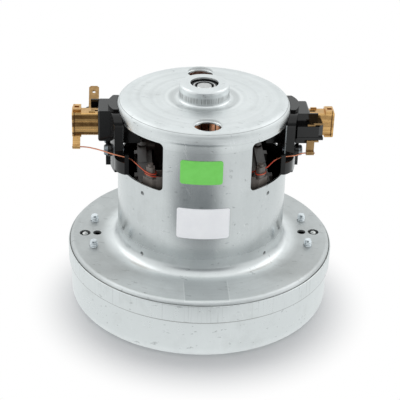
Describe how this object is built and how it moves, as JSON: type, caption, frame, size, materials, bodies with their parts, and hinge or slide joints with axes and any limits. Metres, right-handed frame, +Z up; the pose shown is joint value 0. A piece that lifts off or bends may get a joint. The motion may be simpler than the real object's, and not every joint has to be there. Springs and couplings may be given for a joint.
{
  "type": "vacuum turbine motor",
  "caption": "Brush motor in a round drawn steel can on a wide round fan case, with opposed brass brush tubes, black holders and spade terminals.",
  "frame": {"origin": "middle of the fan case's underside, on the motor's axis", "axes": "+Z up along the shaft towards the bearing boss, +X along the right brush tube"},
  "size_m": [0.13, 0.13, 0.1113],
  "materials": {
    "fan_steel": "zinc-plated pressed steel",
    "can_steel": "zinc-plated drawn steel with fine draw marks",
    "frame_steel": "plain steel",
    "shaft_steel": "ground steel",
    "screw_steel": "zinc-plated screws",
    "spring_steel": "spring steel",
    "core_steel": "stacked electrical steel sheets",
    "impeller_aluminium": "pressed aluminium sheet",
    "brass": "lightly oxidised brass",
    "copper": "bare copper",
    "red_enamel": "copper wire with red enamel",
    "lead_copper": "copper wire, bare outside and red enamelled inside",
    "black_moulding": "glossy black thermoset moulding",
    "brown_moulding": "dark grey-brown moulded plastic",
    "diffuser_plastic": "off-white moulded plastic",
    "carbon": "pressed carbon",
    "seal_rubber": "black bearing seal",
    "cage_plastic": "moulded cage",
    "green_paper": "bare green paper sticker",
    "white_paper": "bare white paper sticker"
  },
  "bodies": {
    "stator": {"back_bobbin": "brown_moulding", "back_field_coil": "red_enamel", "bearing_bridge": "frame_steel", "bridge_screws": "screw_steel", "diffuser": "diffuser_plastic", "fan_case": "fan_steel", "front_bobbin": "brown_moulding", "front_field_coil": "red_enamel", "holder_screws": "screw_steel", "left_brush_cap": "brass", "left_brush_holder": "black_moulding", "left_brush_spring": "spring_steel", "left_brush_tube": "brass", "left_spade_terminal": "brass", "left_terminal_lead": "lead_copper", "left_tube_lead": "lead_copper", "lower_bearing_outer_ring": "shaft_steel", "lower_bearing_seals": "seal_rubber", "lower_label": "white_paper", "motor_can": "can_steel", "right_brush_cap": "brass", "right_brush_holder": "black_moulding", "right_brush_spring": "spring_steel", "right_brush_tube": "brass", "right_spade_terminal": "brass", "right_terminal_lead": "lead_copper", "right_tube_lead": "lead_copper", "stator_core": "core_steel", "upper_bearing_outer_ring": "shaft_steel", "upper_bearing_seals": "seal_rubber", "upper_label": "green_paper", "wave_washer": "spring_steel"},
    "rotor": {"shaft": "shaft_steel", "spacer_sleeve": "shaft_steel", "armature_core": "core_steel", "armature_winding": "red_enamel", "commutator_hub": "brown_moulding", "commutator_bars": "copper", "impeller_back_plate": "impeller_aluminium", "impeller_front_plate": "impeller_aluminium", "impeller_blades": "impeller_aluminium", "impeller_washer": "screw_steel", "impeller_nut": "screw_steel", "upper_bearing_inner_ring": "shaft_steel", "lower_bearing_inner_ring": "shaft_steel"},
    "upper_ball_train": {"upper_bearing_balls": "shaft_steel", "upper_bearing_cage": "cage_plastic"},
    "lower_ball_train": {"lower_bearing_balls": "shaft_steel", "lower_bearing_cage": "cage_plastic"},
    "left_brush": {"left_carbon_brush": "carbon"},
    "right_brush": {"right_carbon_brush": "carbon"}
  },
  "joints": [
    {"name": "rotor_spin", "type": "hinge", "parent": "stator", "child": "rotor", "pos_m": [0, 0, 0], "axis": [0, 0, 1], "continuous": true},
    {"name": "upper_cage_spin", "type": "hinge", "parent": "stator", "child": "upper_ball_train", "pos_m": [0, 0, 0.1064], "axis": [0, 0, 1], "continuous": true},
    {"name": "lower_cage_spin", "type": "hinge", "parent": "stator", "child": "lower_ball_train", "pos_m": [0, 0, 0.0251], "axis": [0, 0, 1], "continuous": true},
    {"name": "right_brush_slide", "type": "slide", "parent": "stator", "child": "right_brush", "axis": [1, 0, 0], "range_m": [0, 0.006], "stiffness_N_per_m": 150, "springref_m": -0.006, "deforming": ["right_brush_spring"]},
    {"name": "left_brush_slide", "type": "slide", "parent": "stator", "child": "left_brush", "axis": [-1, 0, 0], "range_m": [0, 0.006], "stiffness_N_per_m": 150, "springref_m": -0.006, "deforming": ["left_brush_spring"]}
  ],
  "couplings": [
    {"joint": "upper_cage_spin", "follows": "rotor_spin", "ratio": 0.3723},
    {"joint": "lower_cage_spin", "follows": "rotor_spin", "ratio": 0.3723}
  ]
}
